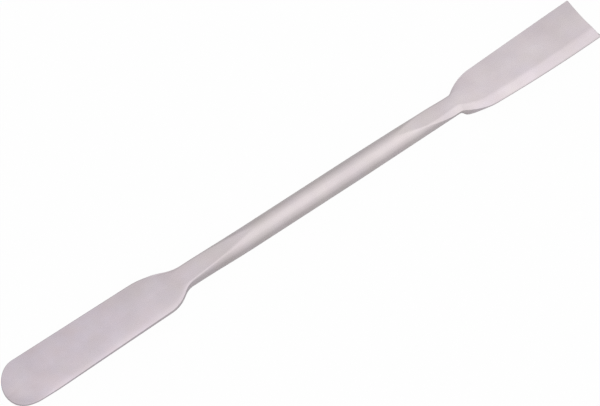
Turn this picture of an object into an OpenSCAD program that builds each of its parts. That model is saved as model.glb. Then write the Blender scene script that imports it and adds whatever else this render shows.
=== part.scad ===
// Double-ended laboratory spatula, forged and ground from one piece of round stainless rod.
// It lies along X, as it comes to rest: on its round handle, and rolled back until its far side
// meets the surface too. The round-nosed blade is at -X, the square one at +X.
// The origin is under the middle of its length, below the handle's axis, on the surface it lies on.

/* [Overall] */
// Length from the tip of the nose to the square end
total_l = 150; // [135:1:200]
// Diameter of the plain handle
handle_d = 5; // [4.4:0.1:6]
// Where the round blade's neck lies, from the tip of its nose
round_l = 46.7; // [40:0.1:52]
// Where the square blade's neck lies, from its square end
square_l = 34; // [30:0.1:40]

/* [Round blade] */
// Width across the nose
round_w = 11.4; // [8:0.1:14]
// Width at the end of the shoulder
round_root_w = 10.4; // [8:0.1:14]
// Thickness at the shoulder
round_root_t = 1.6; // [1.1:0.05:2]
// Thickness at the nose
round_tip_t = 1.1; // [0.7:0.05:1.6]
// Length of the rounded nose
nose_l = 6.1; // [4:0.1:9]
// Length of the shoulder between neck and blade
round_shoulder_l = 8; // [5:0.1:11]
// Length of handle that is flattened above the neck
round_flat_l = 17.5; // [12:0.5:22]
// How far the tip of the nose is ground over to the front
nose_skew = 1.3; // [0:0.1:1.5]
// How far the faces fall towards the tip of the nose
nose_fall = 0.2; // [0:0.05:0.25]
// How far the neck is arched above the axis of the handle
round_arch = 0.5; // [0:0.05:0.6]

/* [Square blade] */
// Width across the square end
square_w = 11.1; // [8:0.1:14]
// Width at the end of the shoulder
square_root_w = 10.0; // [8:0.1:14]
// Thickness of the blade
square_t = 0.95; // [0.75:0.05:1.5]
// Thickness left along the ground side
ground_t = 0.4; // [0.3:0.05:0.6]
// Width of the ground bevel at the shoulder
bevel_root_w = 1.9; // [0.8:0.1:3]
// Width of the ground bevel at the square end
bevel_end_w = 2.3; // [0.8:0.1:3]
// Length of the shoulder between neck and blade
square_shoulder_l = 8; // [6:0.1:12]
// Length of handle that is flattened above the neck
square_flat_l = 15.5; // [10:0.5:20]
// Length over which the round underside rises from the neck to the blade
belly_l = 6.2; // [5:0.1:10]
// How far the blade stands out to the front of the handle's axis
square_aside = 0.1; // [0:0.05:0.5]
// How far the square end is bent up
square_rise = 0.85; // [0:0.05:2]
// Depth of the hollow across the square end
end_hollow = 0.35; // [0.05:0.05:0.6]

/* [Neck of the square blade] */
// Width of the handle where it meets the square blade
neck_d = 4.6; // [4:0.05:5.5]
// Length over which the handle narrows to that neck
narrow_l = 26; // [21:0.5:30]

/* [Finish] */
// Fall of the crown from the middle of a blade to its edge
crown = 0.16; // [0.02:0.01:0.2]
// Width of the crowned strip along each edge
crown_w = 4.4; // [1:0.1:5]
// Rounding of the square end's edges
end_round = 0.3; // [0.1:0.05:0.5]

/* [Hidden] */
steel = [0.79, 0.75, 0.77];

handle_r = handle_d / 2;
nose_x = -total_l / 2;
square_x = total_l / 2;
round_neck_x = nose_x + round_l;
square_neck_x = square_x - square_l;
plain_from = round_neck_x + round_flat_l;
plain_to = square_neck_x - narrow_l;

// The ends reach this far into the true cylinder of the handle, and lie this far inside its skin
overlap = 0.6;
skin = 0.006;
// Half height of a full round section, as a share of its radius: it leaves a hair of a flat
round_share = 0.9995;
// Shares of each shoulder's length over which its slope builds up and dies away
round_ease = [0.35, 0.65];
square_ease = [0.1, 0.9];
// How flat the side wall under the bevel gets at the shoulder: its radius grows by this many depths
wall_flat = 3;
// How much later the round blade's underside is flattened, as a share of the flat above its neck
belly_later = 0.15;
// Steps round one edge of a section, and a bevel's height at half its width
edge_steps = 8;
mid_bevel = 0.66;
quarter_n = edge_steps + 3;
ring_n = 4 * quarter_n;

// ---- curves ----

function clamp01(u) = min(1, max(0, u));
function mix(a, b, u) = a + (b - a) * u;

// A ramp from 0 to 1: its slope builds up over the first share and dies away over the last share
function ramp(u, first, last) =
    let (t = clamp01(u), v = 1 / (1 - (first + last) / 2))
    t < first ? v * t * t / (2 * first)
    : t > 1 - last ? 1 - v * (1 - t) * (1 - t) / (2 * last)
    : v * (t - first / 2);

// The ramp's slope, per unit of its length
function ramp_slope(u, first, last) =
    let (v = 1 / (1 - (first + last) / 2))
    u <= 0 || u >= 1 ? 0
    : u < first ? v * u / first
    : u > 1 - last ? v * (1 - u) / last
    : v;

// ---- sections ----

// A quarter of a section, from the middle of a face out to the middle of an edge.
// An edge is an arc about a point inside it; lean turns it about the vertical, as the outline turns.
// edge = [radius, height of its middle, height from there to its upper corner, width of the bevel]
function quarter(x, half_w, lean, face_z, edge, up) =
    let (r = edge[0],
         turn = asin(clamp01(edge[2] / r)),
         inset = r * (1 - cos(turn)),
         corner_x = x - inset * sin(lean),
         corner_y = half_w - inset * cos(lean),
         corner_z = edge[1] + up * r * sin(turn),
         bevel = min(edge[3], 0.85 * corner_y))
    concat(
        [[corner_x, 0, face_z],
         [corner_x, corner_y - bevel, face_z],
         [corner_x, corner_y - bevel / 2, mix(corner_z, face_z, mid_bevel)]],
        [for (i = [0 : edge_steps])
            let (a = turn * (1 - i / edge_steps), back = r * (1 - cos(a)))
            [x - back * sin(lean), half_w - back * cos(lean), edge[1] + up * r * sin(a)]]);

function part_of(list, from, to) = [for (i = [from : to]) list[i]];
function backwards(list, from, to) = [for (i = [from : -1 : to]) list[i]];
function mirrored(list) = [for (p = list) [p[0], -p[1], p[2]]];

// A whole section as a ring of points: back half first, then the front half, all moved by shift
function ring(x, half_w, lean, top_z, base_z, back_up, back_down, front_up, front_down, shift) =
    let (n = quarter_n,
         back_top = quarter(x, half_w, lean, top_z, back_up, 1),
         back_base = quarter(x, half_w, lean, base_z, back_down, -1),
         front_base = mirrored(quarter(x, half_w, lean, base_z, front_down, -1)),
         front_top = mirrored(quarter(x, half_w, lean, top_z, front_up, 1)))
    [for (p = concat(back_top,
                     backwards(back_base, n - 1, 0),
                     part_of(front_base, 1, n),
                     backwards(front_top, n - 1, 1)))
        p + shift];

// ---- round-nosed end ----

// Everything in this end is measured outwards from where the plain handle stops
round_reach = plain_from - nose_x;
round_neck_d = round_flat_l;
round_root_d = round_neck_d + round_shoulder_l;
round_thin_d = round_neck_d + 1.2 * round_shoulder_l;
nose_d = round_reach - nose_l;

function round_half_w(d) =
    d < round_root_d
        ? mix(handle_r, round_root_w / 2, ramp((d - round_neck_d) / round_shoulder_l, round_ease[0], round_ease[1]))
        : mix(round_root_w, round_w, clamp01((d - round_root_d) / (nose_d - round_root_d))) / 2;

function round_lean(d) =
    -atan((round_root_w / 2 - handle_r) / round_shoulder_l
          * ramp_slope((d - round_neck_d) / round_shoulder_l, round_ease[0], round_ease[1]));

// How far along the nose, from a little before it starts to its tip
function nose_share(d) = clamp01((d - nose_d + nose_l / 3) / (nose_l * 4 / 3));

// Thickness above and below the axis: a long flat runs out on the handle, then the blade tapers
// and the nose falls. The underside is flattened later than the top, so the neck's belly is deep.
function round_half_t(d, later) =
    let (from = later * round_neck_d,
         thinned = ramp((d - from) / (round_thin_d - from), 0.3, 0.35),
         along = clamp01((d - round_thin_d) / (round_reach - round_thin_d)))
    mix(handle_r * round_share, mix(round_root_t, round_tip_t, along) / 2, thinned)
    - nose_fall * pow(nose_share(d), 2);

function round_section(x, d, half_w, lean, aside) =
    let (up = round_half_t(d, 0),
         down = round_half_t(d, belly_later),
         edged = ramp((d - 0.3 * round_neck_d) / (round_root_d - 0.3 * round_neck_d), 0.5, 0.3),
         blended = ramp((d - round_neck_d) / round_shoulder_l, 0.3, 0.4),
         land = mix(0.3, crown_w, blended),
         fall = crown * edged * (1 - pow(nose_share(d), 2)),
         upper = [mix(handle_r, up - fall, blended), 0, up - fall, land],
         lower = [mix(handle_r, down - fall, blended), 0, down - fall, land],
         beyond_neck = (d - round_neck_d) / (round_reach - round_neck_d),
         lift = round_arch * (ramp(d / round_neck_d, 0.5, 0.5) - ramp(beyond_neck, 0.4, 0.1)))
    ring(x, half_w, lean, up, -down, upper, lower, upper, lower, [0, -aside, lift]);

round_stations = concat(
    [for (i = [0 : 9]) round_neck_d * i / 10],
    [for (i = [0 : 13]) round_neck_d + round_shoulder_l * i / 14],
    [for (i = [0 : 5]) mix(round_root_d, nose_d, i / 6)]);

nose_steps = 12;
nose_last = 87;

// ---- square end ----

square_reach = square_x - plain_to;
square_neck_d = narrow_l;
square_flat_d = square_neck_d - square_flat_l;
square_root_d = square_neck_d + square_shoulder_l;
bevel_from_d = square_neck_d - 0.6 * square_flat_l;
neck_r = neck_d / 2;

// Heights of the blade from the axis: its top, its base, and the middles of its two edges
square_top_z = 0.6 * square_t;
square_base_z = square_top_z - square_t;
ground_mid_z = square_base_z + ground_t / 2;
back_mid_z = square_base_z + square_t / 2;

function square_rod_r(d) = mix(handle_r, neck_r, clamp01(d / square_neck_d));

function square_half_w(d) =
    d < square_root_d
        ? mix(square_rod_r(d), square_root_w / 2,
              ramp((d - square_neck_d) / square_shoulder_l, square_ease[0], square_ease[1]))
        : mix(square_w, square_root_w,
              pow(clamp01((square_reach - d) / (square_reach - square_root_d)), 2)) / 2;

function square_lean(d) =
    -atan((square_root_w / 2 - neck_r) / square_shoulder_l
          * ramp_slope((d - square_neck_d) / square_shoulder_l, square_ease[0], square_ease[1]));

// The top is ground away as far as the neck; only there does the belly start to rise to the blade
function square_top(d) =
    mix(square_rod_r(d) * round_share, square_top_z,
        ramp((d - square_flat_d) / (square_flat_l - 0.5), 0.45, 0.2));
function square_base(d) =
    -mix(square_rod_r(d) * round_share, -square_base_z,
         ramp((d - square_neck_d) / belly_l, 0.25, 0.55));

function square_section(x, d, half_w, lean, trim) =
    let (top = square_top(d) - trim,
         base = square_base(d) + trim,
         ground = ramp((d - bevel_from_d) / (square_neck_d - bevel_from_d), 0.4, 0.4),
         blended = ramp((d - square_neck_d) / (0.8 * square_shoulder_l), 0.3, 0.3),
         along = clamp01((d - square_root_d) / (square_reach - square_root_d)),
         front_mid = mix(0, ground_mid_z, blended),
         back_mid = mix(0, back_mid_z, blended),
         front_up = top - ground * (square_t - ground_t) - front_mid,
         front_down = front_mid - base,
         back_up = top - ground * crown - back_mid,
         back_down = back_mid - base,
         front_r = mix(max(square_rod_r(d), front_down), max(front_up, front_down), blended),
         wall_r = front_down * (1 + wall_flat * ramp((d - square_neck_d) / 2, 0.5, 0.5)
                                * (1 - ramp((d - square_neck_d) / square_shoulder_l, 0.6, 0.3))),
         back_r = mix(max(square_rod_r(d), back_down), max(back_up, back_down), blended),
         bevel = d < square_neck_d
             ? 0.9 * mix(0.3, bevel_root_w, ground)
             : mix(0.9 * bevel_root_w, mix(bevel_root_w, bevel_end_w, along), blended),
         bend = pow(clamp01((d - square_root_d) / (square_reach - square_root_d)), 2))
    ring(x, half_w, lean, top, base,
         [back_r, back_mid, back_up, mix(0.3, crown_w, blended)],
         [back_r, back_mid, back_down, mix(0.3, crown_w, blended)],
         [front_r, front_mid, front_up, bevel],
         [max(front_r, wall_r), front_mid, front_down, 0.3],
         [0, -square_aside * ramp((d - square_neck_d) / square_shoulder_l, 0.3, 0.5),
          square_rise * bend]);

square_stations = concat(
    [for (i = [0 : 3]) square_flat_d * i / 4],
    [for (i = [0 : 11]) square_flat_d + square_flat_l * i / 12],
    [for (i = [0 : 15]) square_neck_d + square_shoulder_l * i / 16],
    [for (i = [0 : 7]) mix(square_root_d, square_reach - end_round, i / 8)]);

end_steps = 4;

// The square end is ground slightly hollow: its middle lies behind its corners
corner_y = square_w / 2 - end_round;
function hollowed(points, depth) =
    [for (p = points)
        [p[0] - depth * (1 - pow(min(1, abs(p[1] + square_aside) / corner_y), 2)), p[1], p[2]]];

// ---- skins ----

// Two triangles for each cell between neighbouring rings
function walls(ring_count) =
    [for (j = [0 : ring_count - 2], i = [0 : ring_n - 1], upper = [0, 1])
        let (a = j * ring_n + i, b = j * ring_n + (i + 1) % ring_n)
        upper == 0 ? [a, b, b + ring_n] : [a, b + ring_n, a + ring_n]];

// The nose is closed by strips from side to side, and the square end by strips from top to base
function nose_cap(first) =
    concat(
        [[for (i = [0, 1, 2, -2, -1]) first + (i + ring_n) % ring_n]],
        [for (i = [2 : 2 * quarter_n - 3])
            [first + i, first + i + 1, first + ring_n - i - 1, first + ring_n - i]],
        [[for (i = [-2, -1, 0, 1, 2]) first + 2 * quarter_n + i]]);
function end_cap(first) =
    concat(
        [for (i = [0 : quarter_n - 2])
            [first + i, first + i + 1, first + 2 * quarter_n - i - 1, first + 2 * quarter_n - i]],
        [[first + quarter_n - 1, first + quarter_n, first + quarter_n + 1]],
        [for (i = [0 : quarter_n - 2])
            [first + 2 * quarter_n + i, first + 2 * quarter_n + i + 1,
             first + (4 * quarter_n - i - 1) % ring_n, first + (4 * quarter_n - i) % ring_n]],
        [[first + 3 * quarter_n - 1, first + 3 * quarter_n, first + 3 * quarter_n + 1]]);
// The hidden face inside the handle, as a fan from the middle of one edge
root_cap = [for (i = [0 : ring_n - 1]) (quarter_n + ring_n - i) % ring_n];

module skin(rings, cap) {
    polyhedron(points = [for (r = rings) each r], faces = concat([root_cap], walls(len(rings)), cap));
}

// ---- both ends, pointing along +X from where the plain handle stops ----

// A round section just inside the handle, where an end is rooted
root_r = handle_r - 4 * skin;
root_edge = [root_r, 0, root_r * round_share, 0.3];
root_ring = ring(-overlap, root_r, 0, root_r * round_share, -root_r * round_share,
                 root_edge, root_edge, root_edge, root_edge, [0, 0, 0]);

round_rings = concat(
    [root_ring],
    [for (d = round_stations)
        round_section(d, d, round_half_w(d) - (d < round_neck_d ? skin : 0), round_lean(d), 0)],
    [for (i = [0 : nose_steps])
        let (a = nose_last * i / nose_steps,
             x = nose_d + nose_l * sin(a),
             half_w = round_w / 2 * cos(a),
             lean = atan2(round_w / 2 * sin(a), nose_l * cos(a)))
        round_section(x, x, half_w, lean, nose_skew * pow(sin(a), 1.7))]);

square_rings = concat(
    [root_ring],
    [for (d = square_stations)
        hollowed(square_section(d, d, square_half_w(d) - (d < square_neck_d ? skin : 0),
                                square_lean(d), 0),
                 end_hollow * pow(clamp01((d - square_root_d) / (square_reach - square_root_d)), 6))],
    [for (i = [1 : end_steps])
        let (a = 90 * i / end_steps, d = square_reach - end_round * (1 - sin(a)))
        hollowed(square_section(d, d, square_w / 2 - end_round * (1 - cos(a)), 0,
                                end_round / 3 * (1 - cos(a))), end_hollow)]);

// The roll at which a point of the far side meets the surface that the handle lies on
function meeting_roll(p) = atan2(p[2], p[1]) + asin(handle_r / norm([p[1], p[2]]));
rest_roll = min([for (r = concat(round_rings, square_rings), p = r)
    if (p[1] > 0 && norm([p[1], p[2]]) > handle_r) meeting_roll(p)]);

// ---- the piece ----

module round_end() {
    skin(round_rings, nose_cap((len(round_rings) - 1) * ring_n));
}

module square_end() {
    skin(square_rings, end_cap((len(square_rings) - 1) * ring_n));
}

module spatula() {
    color(steel)
    translate([0, 0, handle_r])
    rotate([-rest_roll, 0, 0])
    union() {
        translate([plain_from, 0, 0])
            rotate([0, 90, 0])
            cylinder(h = plain_to - plain_from, r = handle_r, $fn = 96);
        translate([plain_from, 0, 0]) mirror([1, 0, 0]) round_end();
        translate([plain_to, 0, 0]) square_end();
    }
}

spatula();
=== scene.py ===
# %% [markdown]
# A double-ended laboratory spatula is one length of round stainless rod, about 5 mm thick and
# 150 mm long. One end is forged out into a blade with a round nose, for scraping and levelling
# powder. The other is a square-ended blade with a bevel ground along one side, for lifting it.
# There is no joint and no handle fitted on: everything is one piece of steel.
#
# It could be modelled as a cylinder with two flattened ends joined to it, but then there would be
# a seam where they meet. The real tool has none, so here one skin runs from end to end: a row of
# cross-sections is strung along the rod, and each section is worked out from the tool's sizes.
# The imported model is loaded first, because it says where the tool lies and how large it is.

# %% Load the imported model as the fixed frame
import ast
import math
import bpy
from mathutils import Matrix, Vector


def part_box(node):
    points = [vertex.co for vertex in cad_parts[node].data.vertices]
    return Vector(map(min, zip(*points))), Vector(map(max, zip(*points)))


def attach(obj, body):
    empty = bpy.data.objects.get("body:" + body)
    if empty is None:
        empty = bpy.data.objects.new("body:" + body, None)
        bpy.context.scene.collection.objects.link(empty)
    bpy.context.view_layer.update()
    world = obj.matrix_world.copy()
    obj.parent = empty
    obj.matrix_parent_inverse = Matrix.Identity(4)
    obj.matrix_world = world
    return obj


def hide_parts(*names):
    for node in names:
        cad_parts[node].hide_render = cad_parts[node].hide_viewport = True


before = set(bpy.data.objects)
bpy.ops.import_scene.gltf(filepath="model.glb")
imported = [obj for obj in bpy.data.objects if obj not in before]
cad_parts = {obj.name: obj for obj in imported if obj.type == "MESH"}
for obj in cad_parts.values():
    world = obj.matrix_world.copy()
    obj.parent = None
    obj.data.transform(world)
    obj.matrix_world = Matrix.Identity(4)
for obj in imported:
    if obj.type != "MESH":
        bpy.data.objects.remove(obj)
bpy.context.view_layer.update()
low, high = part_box("spatula")
print("the tool is", " x ".join(f"{1000 * (h - l):.2f}" for l, h in zip(low, high)), "mm")

# %% [markdown]
# Every size of the tool is written down once, in millimetres, with what it measures. These become
# the named inputs of the Geometry Nodes tree, so that a size can be changed and looked at again.
# A real spatula laid on a bench doesn't lie flat: the round handle rolls until the edge of a blade
# touches as well. So the tool is modelled straight, and turned by that roll as the last step.

# %% The tool's sizes
SIZES = {
    "total_l": (150, "Length from nose to square end"),
    "handle_d": (5, "Diameter of the plain handle"),
    "round_l": (46.7, "Length from nose to round neck"),
    "square_l": (34, "Length from square end to neck"),
    "round_w": (11.4, "Width across the nose"),
    "round_root_w": (10.4, "Width at the round shoulder"),
    "round_root_t": (1.6, "Thickness at the round shoulder"),
    "round_tip_t": (1.1, "Thickness at the nose"),
    "nose_l": (6.1, "Length of the rounded nose"),
    "round_shoulder_l": (8, "Length of the round shoulder"),
    "round_flat_l": (17.5, "Flattened handle above the round neck"),
    "nose_skew": (1.3, "How far the nose leans to the front"),
    "nose_fall": (0.2, "Fall of the faces to the tip of the nose"),
    "round_arch": (0.5, "Arch of the round neck"),
    "belly_later": (0.15, "How much later the round underside flattens"),
    "square_w": (11.1, "Width across the square end"),
    "square_root_w": (10, "Width at the square shoulder"),
    "square_t": (0.95, "Thickness of the square blade"),
    "ground_t": (0.4, "Thickness left along the ground side"),
    "bevel_root_w": (1.9, "Width of the bevel at the shoulder"),
    "bevel_end_w": (2.3, "Width of the bevel at the square end"),
    "square_shoulder_l": (8, "Length of the square shoulder"),
    "square_flat_l": (15.5, "Flattened handle above the square neck"),
    "belly_l": (6.2, "Length of the rising belly"),
    "square_aside": (0.1, "How far the square blade stands to the front"),
    "square_rise": (0.85, "How far the square end is bent up"),
    "end_hollow": (0.35, "Hollow across the square end"),
    "neck_d": (4.6, "Width of the square neck"),
    "narrow_l": (26, "Length over which the handle narrows"),
    "crown": (0.16, "Fall of the crown to the edge"),
    "crown_w": (4.4, "Width of the crowned strip"),
    "end_round": (0.3, "Rounding of the square end"),
    "wall_flat": (3, "Flatness of the wall under the bevel"),
    "rest_roll": (19.3052, "Roll at rest, in degrees"),
    "edge_boxy": (0.45, "Squareness of the blades' edges: 1 is round"),
    "edge_rub": (0.24, "Rubbed from the round blade's front edge"),
    "back_fall": (0.18, "Fall of the flats to their back edge"),
    "back_longer": (1.37, "How much longer the round shoulder is at the back"),
    "ridge_soft": (0.2, "Softness of the ridge beside a flat"),
    "nose_lip": (0.45, "Upturned lip at the front of the nose"),
    "lip_share": (0.45, "Share of the nose's radius that the lip takes"),
    "uneven": (0.012, "Unevenness left by hand grinding"),
}
size = {name: value for name, (value, label) in SIZES.items()}
print(len(SIZES), "sizes; the handle is", size["handle_d"], "mm thick")

# %% [markdown]
# A node tree is much easier to read as a few lines of arithmetic than as hundreds of boxes and
# wires. Blender builds only from boxes, so two helpers do the wiring. The first adds one node with
# its settings and links. The second takes a formula as text, and makes one math node for each
# operation in it. A rule is a formula kept as a group of its own, so it can be used by name.
# A formula is ordinary arithmetic: one named value on each line, with comments where they help.

# %% One function adds a node
def add(tree, kind, links=(), **settings):
    """Adds a node. links gives its inputs by place, or by name in a dictionary: sockets or values."""
    node = tree.nodes.new(kind)
    for name, value in settings.items():
        setattr(node, name, value)
    for place, value in links.items() if isinstance(links, dict) else enumerate(links):
        if isinstance(value, bpy.types.NodeSocket):
            tree.links.new(value, node.inputs[place])
        elif value is not None:
            node.inputs[place].default_value = value
    return node


# %% A formula becomes math nodes
SIGNS = {"Add": "ADD", "Sub": "SUBTRACT", "Mult": "MULTIPLY", "Div": "DIVIDE", "Pow": "POWER"}
WORDS = {"min": "MINIMUM", "max": "MAXIMUM", "sin": "SINE", "cos": "COSINE", "asin": "ARCSINE",
         "atan": "ARCTANGENT", "atan2": "ARCTAN2", "sqrt": "SQRT", "abs": "ABSOLUTE",
         "floor": "FLOOR", "above": "GREATER_THAN", "below": "LESS_THAN"}
RULES = {}


def worked(tree, term, known):
    """The socket or number that one term of a formula comes to."""
    if isinstance(term, ast.Constant):
        return float(term.value)
    if isinstance(term, ast.Name):
        return known[term.id]
    if isinstance(term, ast.UnaryOp):
        return add(tree, "ShaderNodeMath", [worked(tree, term.operand, known), -1.0],
                   operation="MULTIPLY").outputs[0]
    if isinstance(term, ast.BinOp):
        sides = [worked(tree, term.left, known), worked(tree, term.right, known)]
        return add(tree, "ShaderNodeMath", sides, operation=SIGNS[type(term.op).__name__]).outputs[0]
    word, given = term.func.id, [worked(tree, part, known) for part in term.args]
    if word in WORDS:
        return add(tree, "ShaderNodeMath", given, operation=WORDS[word]).outputs[0]
    if word == "clamp":
        return add(tree, "ShaderNodeMath", given + [0.0], operation="ADD", use_clamp=True).outputs[0]
    group = RULES[word]
    names = [item.name for item in group.interface.items_tree if item.in_out == "INPUT"]
    given += [known[name] for name in names[len(given):]]
    made = add(tree, "GeometryNodeGroup", given, node_tree=group)
    results = [socket for socket in made.outputs if socket.name]
    return results[0] if len(results) == 1 else results


def formula(tree, text, known):
    """Works out each line of the text, and adds what it names to what is known."""
    for line in ast.parse(text).body:
        target, value = line.targets[0], worked(tree, line.value, known)
        if isinstance(target, ast.Tuple):
            known.update({part.id: one for part, one in zip(target.elts, value)})
        else:
            known[target.id] = value
    return known


print("formulas may use", ", ".join(WORDS), "and clamp")

# %% A rule is a formula in a group of its own
def rule(name, given, text, results):
    """Makes a group for use in later formulas. Sizes named in the text are passed to it as well."""
    tree = bpy.data.node_groups.new(name, "GeometryNodeTree")
    lines = ast.parse(text)
    used = {term.id for term in ast.walk(lines) if isinstance(term, ast.Name)}
    for word in given.split() + [word for word in SIZES if word in used]:
        tree.interface.new_socket(word, in_out="INPUT", socket_type="NodeSocketFloat")
    for word in results.split():
        tree.interface.new_socket(word, in_out="OUTPUT", socket_type="NodeSocketFloat")
    inside = add(tree, "NodeGroupInput")
    known = formula(tree, text, {socket.name: socket for socket in inside.outputs if socket.name})
    add(tree, "NodeGroupOutput", {word: known[word] for word in results.split()})
    RULES[name] = tree


# %% [markdown]
# Forged and ground shapes have no kinks: a shoulder swings out gently, runs straight, and settles
# gently again. One curve does this everywhere on the tool. It is a ramp whose slope builds up over
# a first share of its length and dies away over a last share. Its slope is needed too, because the
# rounded edge of a blade has to be turned to stay square to the outline where the outline widens.

# %% The ramp, its slope, and a mix of two values
rule("mix", "a b share", "mixed = a + (b - a) * share", "mixed")
rule("ramp", "u first last", """
t = clamp(u)
steepest = 1 / (1 - (first + last) / 2)
start = steepest * t * t / (2 * first)
middle = steepest * (t - first / 2)
end = 1 - steepest * (1 - t) * (1 - t) / (2 * last)
result = mix(mix(middle, start, below(t, first)), end, above(t, 1 - last))
""", "result")
rule("slope", "u first last", """
t = clamp(u)
steepest = 1 / (1 - (first + last) / 2)
result = steepest * clamp(min(t / first, (1 - t) / last))
""", "result")
print("rules so far:", ", ".join(RULES))

# %% [markdown]
# A section of the tool is four quarters. Each runs from the middle of a face out to the middle of
# an edge: first the flat of the face, then a strip that falls to a corner, then an arc round the
# edge. On the handle the arc is nearly the whole quarter, which makes it round. On a blade the arc
# is small, and the strip is the crown, or the bevel that is ground along the front of the square
# blade. So the same quarter makes every place on the tool, and only its few measures change.
# The two rules below give those measures for any distance d out along each end, counted from where
# the plain handle stops. Turned is the angle gone round the nose or the rounding of the square end.

# %% The round-nosed end
rule("round_measures", "d turned top near", """
reach = round_flat_l + round_l
root = round_flat_l + round_shoulder_l
nose = reach - nose_l
rod = handle_d / 2
# The rod has no flat or strip, but 0.16 mm is left for them, so that no face is without width
rod_face = 0.9995 * rod
rod_strip = 0.3

# The shoulder swings out from the rod, and the blade widens slowly on to the nose
swing_first = 0.35
swing_last = 0.65
swing_l = round_shoulder_l * mix(back_longer, 1, near)
swung = (d - round_flat_l) / swing_l
across = mix(rod, round_root_w / 2, ramp(swung, swing_first, swing_last))
across = across + (round_w - round_root_w) / 2 * clamp((d - root) / (nose - root))
half_w = across * cos(turned)
shoulder_lean = -atan((round_root_w / 2 - rod) / swing_l * slope(swung, swing_first, swing_last))
lean = shoulder_lean + atan2(round_w / 2 * sin(turned), nose_l * cos(turned))

# Both faces come down from the rod to the blade, and the underside starts later
starts = belly_later * round_flat_l * (1 - top)
thin = round_flat_l + 1.2 * round_shoulder_l
thin_first = mix(0.3, 0.2, top)
thin_last = mix(0.35, 0.42, top)
thinned = ramp((d - starts) / (thin - starts), thin_first, thin_last)
blade_t = mix(round_root_t, round_tip_t, clamp((d - thin) / (reach - thin)))
body = mix(rod_face, blade_t / 2, thinned)

# The nose falls from a third of its length before it begins, and there the crown dies away
eased = clamp((d - nose + nose_l / 3) / (nose_l * 4 / 3))
face = body - nose_fall * eased * eased
crown_from = 0.3 * round_flat_l
crowned = ramp((d - crown_from) / (root - crown_from), 0.5, 0.3)
high = face - crown * crowned * (1 - eased * eased)
mid = 0

# The edge's radius goes from the rod's to that of the thin blade
out = (d - round_flat_l) / round_shoulder_l
blade = ramp(out, 0.3, 0.4)
edge_r = mix(rod, high, blade)
strip = mix(rod_strip, crown_w, blade)

# The nose leans over more and more to its tip, and the neck is arched
skew_bow = 1.7
sideways = -nose_skew * sin(turned) ** skew_bow
beyond = (d - round_flat_l) / round_l
lift = round_arch * (ramp(d / round_flat_l, 0.5, 0.5) - ramp(beyond, 0.4, 0.1))
""", "half_w lean face mid high edge_r strip sideways lift blade")
print("round_measures:", len(RULES["round_measures"].nodes), "nodes")

# %% The square end
rule("square_measures", "d turned top near", """
reach = narrow_l + square_l
root = narrow_l + square_shoulder_l
neck = neck_d / 2
rod = mix(handle_d / 2, neck, clamp(d / narrow_l))
rod_face = 0.9995 * rod
rod_strip = 0.3
along = clamp((d - root) / (reach - root))
left = clamp((reach - d) / (reach - root))
rounding = 1 - cos(turned)

# The shoulder swings out at once from the neck, and then settles slowly
swing_first = 0.1
swing_last = 0.9
out = (d - narrow_l) / square_shoulder_l
across = mix(rod, square_root_w / 2, ramp(out, swing_first, swing_last))
half_w = across + (square_w - square_root_w) / 2 * (1 - left * left) - end_round * rounding
lean = -atan((square_root_w / 2 - neck) / square_shoulder_l * slope(out, swing_first, swing_last))

# The top is ground away up to the neck, and the underside rises only after it
top_z = 0.6 * square_t
base_z = top_z - square_t
top_from = narrow_l - square_flat_l
top_l = square_flat_l - 0.5
trim = end_round / 3 * rounding
upper = mix(rod_face, top_z, ramp((d - top_from) / top_l, 0.3, 0.2)) - trim
lower = -mix(rod_face, -base_z, ramp((d - narrow_l) / belly_l, 0.25, 0.55)) + trim

# The bevel takes the front side down to its ground thickness, and the crown the back side
bevel_from = narrow_l - 0.7 * square_flat_l
ground = ramp((d - bevel_from) / (narrow_l - bevel_from), 0.4, 0.4)
blade = ramp((d - narrow_l) / (0.8 * square_shoulder_l), 0.3, 0.3)
mid = mix(base_z + square_t / 2, base_z + ground_t / 2, near) * blade
front_up = upper - ground * (square_t - ground_t) - mid
back_up = upper - ground * crown - mid
up = mix(back_up, front_up, near)
down = mid - lower
face = mix(-lower, upper, top)
high = mix(down, up, top)

# Under the bevel, the front side of the shoulder is a steep wall. It flattens within 2 mm
back_r = max(rod, mix(down, max(back_up, down), 1 - near))
edge_r = mix(back_r, max(up, down), blade)
wall = ramp((d - narrow_l) / 2, 0.5, 0.5) * (1 - ramp(out, 0.6, 0.3))
wall_r = down * (1 + wall_flat * wall)
edge_r = mix(edge_r, max(edge_r, wall_r), near * (1 - top))

# The bevel is three quarters as wide before the shoulder
early_bevel = 0.75 * mix(rod_strip, bevel_root_w, ground)
bevel = mix(early_bevel, mix(bevel_root_w, bevel_end_w, along), blade)
crowned = mix(mix(rod_strip, crown_w, blade), rod_strip, near)
strip = mix(crowned, bevel, near * top)

# The blade stands a little to the front and bends up, and the hollow shows near its end
sideways = -square_aside * ramp(out, 0.3, 0.5)
lift = square_rise * along * along
hollow = end_hollow * along ** 6
""", "half_w lean face mid high edge_r strip sideways lift blade hollow")
print("square_measures:", len(RULES["square_measures"].nodes), "nodes")

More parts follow.
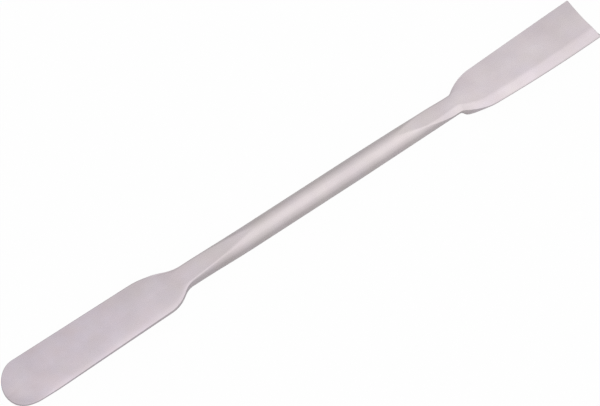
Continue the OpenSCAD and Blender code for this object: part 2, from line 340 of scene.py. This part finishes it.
# %% One quarter of a section
rule("quarter", "d half_w lean face mid high edge_r strip bare square centre bow rubbed "
     "top flat_k strip_k arc_k", """
# The corner is where the strip meets the arc. A blade's arc is boxier than a circle's
updown = 2 * top - 1
boxy = mix(1, edge_boxy, bare * square)
turn = asin(clamp(high / edge_r) ** (1 / boxy))
corner_back = edge_r * (1 - cos(turn) ** boxy)
corner_y = half_w - corner_back * cos(lean)
corner_z = mid + updown * edge_r * sin(turn) ** boxy

# A point on the flat, the strip or the arc. The strip leaves some of the flat beside it
strip_w = min(strip, 0.85 * corner_y)
angle = turn * (1 - arc_k)
back = edge_r * (1 - cos(angle) ** boxy)
x = d - mix(centre, back, flat_k) * sin(lean)
y = (corner_y - strip_w) * flat_k + strip_w * strip_k + half_w - back * cos(lean) - corner_y
rubbed_bow = 7
fallen = mix(strip_k ** bow, strip_k ** rubbed_bow, rubbed)
from_corner = mid + updown * edge_r * sin(angle) ** boxy - corner_z
z = updown * face + (corner_z - updown * face) * fallen + from_corner

# Where a flat cuts the round rod, the ridge between them is softened
tiny = 0.0001
cut = face - updown * mid
from_arc = max(y - half_w + edge_r, 0)
arc_high = sqrt(max(edge_r * edge_r - from_arc * from_arc, 0))
soft = min(ridge_soft, edge_r - cut) + tiny
off_middle = mix(1, clamp(3 * y), clamp(3 * bare))
meeting = max(soft - abs(cut - arc_high), 0) / soft * off_middle
z = z - updown * meeting * meeting * soft / 4
""", "x y z")
print("quarter:", len(RULES["quarter"].nodes), "nodes")

# %% [markdown]
# The skin starts as a flat grid: one way it has a line of points for each station along the tool,
# the other way it has the points round one section. The formulas below move each point to its
# place, like a flat sheet rolled into a tube. Stations lie close together where the shape turns
# quickly, such as the nose, the shoulders and the square end, and wide apart on the plain handle.
# At both ends the tube closes on itself, and merging the points that meet makes it one solid skin.

# %% How the stations are shared out
STATIONS = [("nose", 44), ("blade_a", 44), ("shoulder_a", 36), ("flat_a", 36), ("plain", 26),
            ("straight", 14), ("flat_b", 44), ("shoulder_b", 64), ("blade_b", 50), ("arris", 8), ("cap", 4)]
FLAT_POINTS, STRIP_POINTS, ARC_POINTS = 10, 10, 20
quarter_points = FLAT_POINTS + STRIP_POINTS + ARC_POINTS
station_count = sum(count for name, count in STATIONS)
print(station_count + 1, "stations with", 4 * quarter_points, "points round each")

# %% How far along the tool a point is
LONG = """
quarter_turn = 1.5707963
turn_a = quarter_turn * (1 - nose)
turn_b = quarter_turn * arris
plain_from = round_l + round_flat_l - total_l / 2
plain_to = total_l / 2 - square_l - narrow_l
long_a = nose_l * (1 - sin(turn_a)) + (round_l - nose_l - round_shoulder_l) * blade_a
long_a = long_a + round_shoulder_l * shoulder_a + round_flat_l * flat_a - total_l / 2
long_b = (narrow_l - square_flat_l) * straight + square_flat_l * flat_b + square_shoulder_l * shoulder_b
long_b = long_b + (square_l - square_shoulder_l - end_round) * blade_b + end_round * sin(turn_b)
long = long_a + long_b + (plain_to - plain_from) * plain
d_a = plain_from - long
d_b = long - plain_to
b_end = above(long, (plain_from + plain_to) / 2)
"""
print("a place along the tool takes", LONG.count(" = "), "steps")

# %% How far round the section it is
ROUND = """
# Quarters 0 and 1 are at the back, 2 and 3 in front, and 0 and 3 on top
turns = around * 4
quarter_number = min(floor(turns), 3)
near = above(quarter_number, 1.5)
top = above(abs(quarter_number - 1.5), 1)
# k runs from the middle of a face to the edge: over the flat, then the strip, then the arc
odd = 2 * (quarter_number / 2 - floor(quarter_number / 2))
k = mix(turns - quarter_number, 1 - turns + quarter_number, odd)
flat_k = clamp(k * steps / flat_steps)
strip_k = clamp((k * steps - flat_steps) / strip_steps)
strip_k = strip_k * (2 - strip_k)
arc_k = clamp((k * steps - flat_steps - strip_steps) / arc_steps)
"""
print("a place round the section takes", ROUND.count(" = "), "steps")

# %% What the section measures there
MEASURED = """
(half_w_a, lean_a, face_a, mid_a, high_a, edge_r_a, strip_a, side_a, lift_a,
 bare_a) = round_measures(d_a, turn_a, top, near)
(half_w_b, lean_b, face_b, mid_b, high_b, edge_r_b, strip_b, side_b, lift_b,
 bare_b, hollow_b) = square_measures(d_b, turn_b, top, near)
"""
MEASURES = ["d", "half_w", "lean", "face", "mid", "high", "edge_r", "strip", "side", "lift", "bare"]
print("each end gives", len(MEASURES), "measures, and each point takes its own end's")

# %% Where the point goes
PLACED = """
# Use has rubbed the front edge of the round blade
rub = edge_rub * near * top * bare ** 0.4 * (1 - b_end) * cos(turn_a) ** 2
rubbed = rub / (crown + rub)
high = high - rub
# Underneath, the back edges stay round, and all the quarters agree where they meet at the nose
square = max(max(top, near), sin(turn_a))
# On the nose, the middle of a face is set back by the radius of its edge
centre = edge_r * above(turn_a, 0.001)
# A crown curves down to its edge, and a bevel is almost plane
crown_bow = 1.6
bevel_bow = 1.2
bow = mix(crown_bow, bevel_bow, near * top * b_end)
out, y, z = quarter(d, half_w, lean, face, mid, high, edge_r, strip, bare, square, centre, bow, rubbed,
                    top, flat_k, strip_k, arc_k)
# Once a flat is 0.8 mm deep, it falls by the whole amount to its back edge
flat_depth = clamp((handle_d / 2 - face) / 0.8)
from_seam = y / max(half_w, 0.5)
z = z - back_fall * top * (1 - near) * flat_depth * cos(turn_a) * from_seam ** 2
# The cap closes the square end, which is hollowed a little
end_half = square_w / 2 - end_round
y = mix(y, end_half * k, cap) * (1 - 2 * near) + side
z = mix(z, 0.1 * square_t, cap) + lift
from_middle = min(1, abs(y + square_aside) / end_half)
out = out - hollow_b * b_end * (1 - from_middle * from_middle)
x = mix(plain_from - out, plain_to + out, b_end)
# The nose is turned up into a lip on its front side. Rim is 1 at the outline, and 0 inside the lip
u = (x + total_l / 2) / nose_l - 1
v = 2 * (y - side_a) / round_w
rim = clamp((sqrt(u * u + v * v) - 1) / lip_share + 1)
to_front = clamp(-1.1 * u - 0.85 * v - 0.2)
z = z + nose_lip * rim * rim * to_front * (1 - b_end)
# An edge is worn smooth past the first third of its round
worn = bare * clamp(arc_k * 3 + cap)
"""
print("its place in space takes", PLACED.count(" = "), "more")

# %% The tree that makes the skin
SWELLS = 0.12          # per millimetre, so that the longest are about 8 mm
SMALLEST_GAP = 2e-7    # metres: points nearer than this are one


def skin_tree(material):
    tree = bpy.data.node_groups.new("forged_spatula", "GeometryNodeTree")
    for name, (value, label) in SIZES.items():
        socket = tree.interface.new_socket(label, in_out="INPUT", socket_type="NodeSocketFloat")
        socket.default_value = value
    tree.interface.new_socket("Geometry", in_out="OUTPUT", socket_type="NodeSocketGeometry")
    given = add(tree, "NodeGroupInput")
    known = dict(zip(SIZES, given.outputs))
    grid = add(tree, "GeometryNodeMeshGrid", [1.0, 1.0, station_count + 1, 4 * quarter_points + 1])
    spot = add(tree, "ShaderNodeSeparateXYZ", [add(tree, "GeometryNodeInputPosition").outputs[0]])
    known.update(spot_x=spot.outputs[0], spot_y=spot.outputs[1], count=float(station_count),
                 steps=float(quarter_points), flat_steps=float(FLAT_POINTS),
                 strip_steps=float(STRIP_POINTS), arc_steps=float(ARC_POINTS))
    formula(tree, "station = (spot_x + 0.5) * count\naround = spot_y + 0.5", known)
    before = 0
    for name, count in STATIONS:
        known.update(before=float(before), own=float(count))
        formula(tree, f"{name} = clamp((station - before) / own)", known)
        before += count
    for text in (LONG, ROUND, MEASURED):
        formula(tree, text, known)
    for name in MEASURES:
        formula(tree, f"{name} = mix({name}_a, {name}_b, b_end)", known)
    formula(tree, PLACED, known)
    placed = add(tree, "ShaderNodeCombineXYZ", [known["x"], known["y"], known["z"]])
    # Hand grinding leaves swells a few millimetres long and a hundredth of a millimetre high
    swell = add(tree, "ShaderNodeTexNoise", {"Vector": placed.outputs[0], "Scale": SWELLS, "Detail": 2.0},
                noise_dimensions="3D")
    swollen = add(tree, "ShaderNodeVectorMath", [swell.outputs["Color"], (0.5, 0.5, 0.5)],
                  operation="SUBTRACT")
    by = add(tree, "ShaderNodeVectorMath", {0: swollen.outputs[0], "Scale": known["uneven"]},
             operation="SCALE")
    uneven = add(tree, "ShaderNodeVectorMath", [placed.outputs[0], by.outputs[0]], operation="ADD")
    # Roll it to rest, stand the handle on the bench, and go from millimetres to metres
    angle = formula(tree, "angle = -rest_roll * 0.01745329", known)["angle"]
    rolled = add(tree, "ShaderNodeVectorRotate", {"Vector": uneven.outputs[0], "Angle": angle},
                 rotation_type="X_AXIS")
    height = formula(tree, "height = handle_d / 2", known)["height"]
    lifted = add(tree, "ShaderNodeVectorMath",
                 [rolled.outputs[0], add(tree, "ShaderNodeCombineXYZ", [0.0, 0.0, height]).outputs[0]],
                 operation="ADD")
    metres = add(tree, "ShaderNodeVectorMath", {0: lifted.outputs[0], "Scale": 0.001}, operation="SCALE")
    worn = add(tree, "GeometryNodeStoreNamedAttribute",
               {"Geometry": grid.outputs[0], "Name": "worn_edge", "Value": known["worn"]},
               data_type="FLOAT", domain="POINT")
    moved = add(tree, "GeometryNodeSetPosition",
                {"Geometry": worn.outputs[0], "Position": metres.outputs[0]})
    joined = add(tree, "GeometryNodeMergeByDistance",
                 {"Geometry": moved.outputs[0], "Distance": SMALLEST_GAP})
    smooth = add(tree, "GeometryNodeSetShadeSmooth", {"Geometry": joined.outputs[0]})
    real = add(tree, "GeometryNodeRealizeInstances", [smooth.outputs[0]])
    dressed = add(tree, "GeometryNodeSetMaterial", {"Geometry": real.outputs[0], "Material": material})
    add(tree, "NodeGroupOutput", [dressed.outputs[0]])
    return tree


# %% [markdown]
# Stainless steel for laboratory tools is usually a chromium steel, ground along the blade with a
# fine belt and then tumbled in ceramic chips. Grinding leaves faint lines along the tool; tumbling
# softens them into an even satin, and brightens the edges, which are rubbed most. So the finish is
# a metal of medium roughness, with long faint lines in it, slow patches where it was tumbled more
# or less, and smoother edges. A plain grey metal would look like paint: the eye knows steel by how
# its highlight is slightly broken up.

# %% Colours
def linear(text):
    """A colour written as six hex digits, in the linear values that shaders use."""
    parts = [int(text[i:i + 2], 16) / 255 for i in (0, 2, 4)]
    return tuple(p / 12.92 if p <= 0.04045 else ((p + 0.055) / 1.055) ** 2.4 for p in parts) + (1.0,)


STEEL_PLAIN = linear("D0C6CF")   # satin chromium steel, nearly neutral
STEEL_WARM = linear("D0C4CA")    # the same steel in warmer patches, which were tumbled less
STEEL_GREY = linear("D0C8C7")    # the greyer finish of the rod as it was drawn
print("steel reflects", ", ".join(f"{c:.2f}" for c in STEEL_PLAIN[:3]), "of red, green and blue")


# %% The scales of its patterns, counted per metre
PATCHES = 210.0                       # about 5 mm across, where the tumbling took more or less
BELT_LINES = (50.0, 5000.0, 5000.0)   # 20 mm long and 0.2 mm apart: real ones are 0.03 mm apart,
#                                       which is too fine to draw
DENTS = 3300.0                        # about 0.3 mm across, an all-over grain left by tumbling
BUMP_HEIGHT = 0.00002                 # metres that the whole range of the relief stands for
print("patches are", round(1000 / PATCHES, 1), "mm across, and dents", round(1000 / DENTS, 1), "mm")


# %% Ground and tumbled stainless steel
def satin_steel():
    material = bpy.data.materials.new("ground_tumbled_stainless")
    material.use_nodes = True
    tree = material.node_tree
    shader = tree.nodes["Principled BSDF"]
    place = add(tree, "ShaderNodeTexCoord").outputs["Object"]
    along = add(tree, "ShaderNodeSeparateXYZ", [place]).outputs[0]
    # In the patches, one channel tints the steel, one shades it and one spreads the grey
    patches = add(tree, "ShaderNodeTexNoise", {"Vector": place, "Scale": PATCHES, "Detail": 3.0})
    channel = add(tree, "ShaderNodeSeparateColor", [patches.outputs["Color"]])
    toned = add(tree, "ShaderNodeMapRange", [channel.outputs[0], 0.35, 0.65, 0.0, 1.0])
    tinted = add(tree, "ShaderNodeMix", {0: toned.outputs[0], 6: STEEL_WARM, 7: STEEL_PLAIN},
                 data_type="RGBA")
    shade = add(tree, "ShaderNodeMapRange", [channel.outputs[1], 0.35, 0.65, 0.97, 1.03])
    # The handle keeps more of the drawn rod's grey, in patches too, and the round blade least
    drawn = add(tree, "ShaderNodeMapRange", [along, -0.045, -0.015, 0.05, 0.7])
    reground = add(tree, "ShaderNodeMapRange", [along, 0.03, 0.045, -0.5, -0.75])
    spread = add(tree, "ShaderNodeMath", [channel.outputs[2], 1.0, reground.outputs[0]],
                 operation="MULTIPLY_ADD")
    greyed = add(tree, "ShaderNodeMath", [drawn.outputs[0], spread.outputs[0]],
                 operation="ADD", use_clamp=True)
    mixed = add(tree, "ShaderNodeMix", {0: greyed.outputs[0], 6: tinted.outputs[2], 7: STEEL_GREY},
                data_type="RGBA")
    # The square end is painted a little brighter, as painted light, and its tip a little darker, as painted
    # shade
    painted_light_square_end = add(tree, "ShaderNodeMapRange", [along, -0.02, 0.05, 0.985, 1.08])
    painted_shade_square_tip = add(tree, "ShaderNodeMapRange", [along, 0.06, 0.07, 1.0, 0.94],
                 interpolation_type="SMOOTHSTEP")
    # The level is the patches' random tone times this painted light and painted shade along the tool
    level = add(tree, "ShaderNodeMath", [shade.outputs[0], painted_light_square_end.outputs[0]], operation="MULTIPLY")
    level = add(tree, "ShaderNodeMath", [level.outputs[0], painted_shade_square_tip.outputs[0]], operation="MULTIPLY")
    colour = add(tree, "ShaderNodeVectorMath", {0: mixed.outputs[2], "Scale": level.outputs[0]},
                 operation="SCALE")
    # The roughness varies from line to line, and is less in some patches and on worn edges
    stretched = add(tree, "ShaderNodeMapping", {"Vector": place, "Scale": BELT_LINES})
    lines = add(tree, "ShaderNodeTexNoise", {"Vector": stretched.outputs[0], "Scale": 1.0, "Detail": 3.0})
    rough = add(tree, "ShaderNodeMapRange", [lines.outputs["Fac"], 0.3, 0.7, 0.26, 0.36])
    patchy = add(tree, "ShaderNodeMath", [toned.outputs[0], -0.04, rough.outputs[0]],
                 operation="MULTIPLY_ADD")
    worn = add(tree, "ShaderNodeAttribute", attribute_name="worn_edge")
    rubbed = add(tree, "ShaderNodeMath", [worn.outputs["Fac"], -0.08, patchy.outputs[0]],
                 operation="MULTIPLY_ADD")
    # The lines and the dents stand in relief, and the dents less than half as much
    dents = add(tree, "ShaderNodeTexNoise", {"Vector": place, "Scale": DENTS, "Detail": 2.0})
    relief = add(tree, "ShaderNodeMath", [dents.outputs["Fac"], 0.4, lines.outputs["Fac"]],
                 operation="MULTIPLY_ADD")
    bump = add(tree, "ShaderNodeBump",
               {"Height": relief.outputs[0], "Strength": 0.1, "Distance": BUMP_HEIGHT})
    shader.inputs["Metallic"].default_value = 1.0
    tree.links.new(colour.outputs[0], shader.inputs["Base Color"])
    tree.links.new(rubbed.outputs[0], shader.inputs["Roughness"])
    tree.links.new(bump.outputs[0], shader.inputs["Normal"])
    return material


steel = satin_steel()
print("the steel's tree has", len(steel.node_tree.nodes), "nodes")

# %% Make the skin, and turn it into a plain mesh
tree = skin_tree(steel)
blank = bpy.data.objects.new("spatula_blank", bpy.data.meshes.new("spatula_blank"))
bpy.context.scene.collection.objects.link(blank)
modifier = blank.modifiers.new("forged_spatula", "NODES")
modifier.node_group = tree
sockets = [item for item in tree.interface.items_tree if item.in_out == "INPUT"]
for socket, name in zip(sockets, SIZES):
    modifier[socket.identifier] = float(size[name])
graph = bpy.context.evaluated_depsgraph_get()
mesh = bpy.data.meshes.new_from_object(blank.evaluated_get(graph))
blank.modifiers.remove(modifier)
bpy.data.objects.remove(blank)
spatula = bpy.data.objects.new("spatula_steel", mesh)
bpy.context.scene.collection.objects.link(spatula)
print("the tree has", len(tree.nodes), "nodes")
print("the skin has", len(mesh.vertices), "points and", len(mesh.polygons), "faces")

# %% Check that it is closed and faces outwards, and print how far it reaches
def enclosed(mesh):
    """The volume inside a mesh, in cubic millimetres: negative if its faces point inwards."""
    mesh.calc_loop_triangles()
    total = 0.0
    for triangle in mesh.loop_triangles:
        a, b, c = (mesh.vertices[i].co for i in triangle.vertices)
        total += a.dot(b.cross(c))
    return total / 6 * 1e9


volume = enclosed(mesh)
if volume < 0:
    mesh.flip_normals()
    volume = enclosed(mesh)
uses = {}
for face in mesh.polygons:
    for key in face.edge_keys:
        uses[key] = uses.get(key, 0) + 1
print(f"volume {volume:.1f} cubic mm,", sum(n != 2 for n in uses.values()), "edges without two faces")
for word, pick in (("from", min), ("to", max)):
    print(word, [round(1000 * pick(v.co[i] for v in mesh.vertices), 3) for i in range(3)])

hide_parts("spatula")
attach(spatula, "root")

# %% [markdown]
# Shiny things are lit by their surroundings: what the eye reads as the colour of steel is mostly
# what it reflects. A small bright lamp would give a hard glint. In a white room the light grows
# softly from the walls to a point overhead, so the steel shades gently from one side of the handle
# to the other, and a large soft panel adds a little more there. The bench is white as well. The
# camera sees it at full white, while its own surface still takes the tool's soft shadow.

# %% Directions are given for the straight tool, and turned with it by its roll
roll = Matrix.Rotation(-math.radians(size["rest_roll"]), 3, "X")
axis_height = size["handle_d"] / 2000


upright = roll @ Vector((0, 0, 1))


def aimed(thing, point, direction, distance):
    """Puts a lamp or camera at a distance from a point, in a direction from it, looking back."""
    back = roll @ Vector(direction).normalized()
    side = upright.cross(back).normalized()
    rise = back.cross(side)
    turn = Matrix((side, rise, back)).transposed().to_4x4()
    thing.matrix_world = Matrix.Translation(Vector(point) + distance * back) @ turn


print("the tool's own upright points", [round(c, 2) for c in upright])


# %% The white room
BRIGHTEST = Vector((0.305, -0.085, 0.949))    # overhead, and a little towards the square end
WALL_LEVEL, BRIGHTEST_LEVEL = 0.72, 1.14
GATHERED = 1.3    # the more it is gathered, the closer the light keeps to that direction


def white_room():
    """Surroundings that grow from one level at the walls to another in the brightest direction."""
    world = bpy.data.worlds.new("white_room")
    world.use_nodes = True
    tree = world.node_tree
    tree.nodes.clear()
    ray = add(tree, "ShaderNodeLightPath")
    looking = add(tree, "ShaderNodeTexCoord").outputs["Generated"]
    towards = add(tree, "ShaderNodeVectorMath", [looking, BRIGHTEST], operation="DOT_PRODUCT")
    above = add(tree, "ShaderNodeMath", [towards.outputs["Value"], 0.0], operation="MAXIMUM")
    swell = add(tree, "ShaderNodeMath", [above.outputs[0], GATHERED], operation="POWER")
    level = add(tree, "ShaderNodeMath",
                [swell.outputs[0], BRIGHTEST_LEVEL - WALL_LEVEL, WALL_LEVEL], operation="MULTIPLY_ADD")
    white = add(tree, "ShaderNodeMapRange",
                [ray.outputs["Is Camera Ray"], 0.0, 1.0, level.outputs[0], 1.0])
    room = add(tree, "ShaderNodeBackground",
               {"Color": (1.0, 1.0, 1.0, 1.0), "Strength": white.outputs[0]})
    add(tree, "ShaderNodeOutputWorld", {"Surface": room.outputs[0]})
    bpy.context.scene.world = world


white_room()
print("the room's walls are at", WALL_LEVEL, "and its brightest part at", BRIGHTEST_LEVEL)

# %% The soft panel overhead
PANEL_DIRECTION, PANEL_AWAY = (0.45, -0.37, 0.82), 1.0
panel = bpy.data.lights.new("soft_panel", "AREA")
panel.shape, panel.size = "DISK", 1.3
panel.energy = 0.25
lamp = bpy.data.objects.new("soft_panel", panel)
bpy.context.scene.collection.objects.link(lamp)
aimed(lamp, (0, 0, axis_height), PANEL_DIRECTION, PANEL_AWAY)
print(f"the panel is {panel.size:.1f} m across, {PANEL_AWAY} m away, and gives {panel.energy} W")

# %% The bench
BENCH_HALF = 2             # metres from its middle to each side
SEEN_WHITE = 0.98          # how much of what the camera sees of the bench is plain white
MIRRORED_WHITE = 0.1       # and how much of what shows in the steel


def white_bench():
    material = bpy.data.materials.new("white_bench")
    material.use_nodes = True
    tree = material.node_tree
    tree.nodes.clear()
    ray = add(tree, "ShaderNodeLightPath")
    paint = add(tree, "ShaderNodeBsdfDiffuse", {"Color": linear("D0D0D0")})
    white = add(tree, "ShaderNodeEmission", {"Color": (1.0, 1.0, 1.0, 1.0), "Strength": 1.0})
    mirrored = add(tree, "ShaderNodeMath",
                   [ray.outputs["Is Glossy Ray"], ray.outputs["Is Transmission Ray"]],
                   operation="MAXIMUM")
    share = add(tree, "ShaderNodeMath", [mirrored.outputs[0], MIRRORED_WHITE], operation="MULTIPLY")
    both = add(tree, "ShaderNodeMath", [ray.outputs["Is Camera Ray"], SEEN_WHITE, share.outputs[0]],
               operation="MULTIPLY_ADD")
    mixed = add(tree, "ShaderNodeMixShader", [both.outputs[0], paint.outputs[0], white.outputs[0]])
    add(tree, "ShaderNodeOutputMaterial", {"Surface": mixed.outputs[0]})
    return material


ground = bpy.data.meshes.new("bench")
ground.from_pydata([(x * BENCH_HALF, y * BENCH_HALF, 0) for x, y in ((-1, -1), (1, -1), (1, 1), (-1, 1))],
                   [], [(0, 1, 2, 3)])
ground.materials.append(white_bench())
bench = bpy.data.objects.new("bench", ground)
bpy.context.scene.collection.objects.link(bench)
print("the bench is", 2 * BENCH_HALF, "m square, at the height that the handle lies on")

# %% [markdown]
# A long lens from far away draws both ends of a slim tool at the same scale, as a drawing in a
# catalogue does. The camera looks down on the tool from beyond its front side, with the square end
# further away, so the tool crosses the frame from corner to corner and nearly fills it.

# %% The camera
VIEW_WIDTH = 0.12267       # how much of the bench the frame's width takes in, in metres
CAMERA_AWAY = 2.5
FILM_WIDTH = 36.0          # millimetres, as on a full-frame camera
AZIMUTH, ELEVATION = math.radians(-37.8), math.radians(56.5)
MIDDLE = (0.00097, 0.00015, axis_height)    # the point that the camera looks at
view = bpy.data.cameras.new("camera")
view.sensor_width = FILM_WIDTH
view.lens = FILM_WIDTH * CAMERA_AWAY / VIEW_WIDTH
view.clip_start, view.clip_end = 0.1, 20.0
camera = bpy.data.objects.new("camera", view)
bpy.context.scene.collection.objects.link(camera)
level = math.cos(ELEVATION)
to_camera = (math.sin(AZIMUTH) * level, -math.cos(AZIMUTH) * level, math.sin(ELEVATION))
aimed(camera, MIDDLE, to_camera, CAMERA_AWAY)
bpy.context.scene.camera = camera
bpy.context.scene.view_settings.view_transform = "Standard"
above_bench = math.degrees(math.asin((roll @ Vector(to_camera)).z))
print(f"a {view.lens:.0f} mm lens from {CAMERA_AWAY} m, {above_bench:.0f} degrees above the bench")
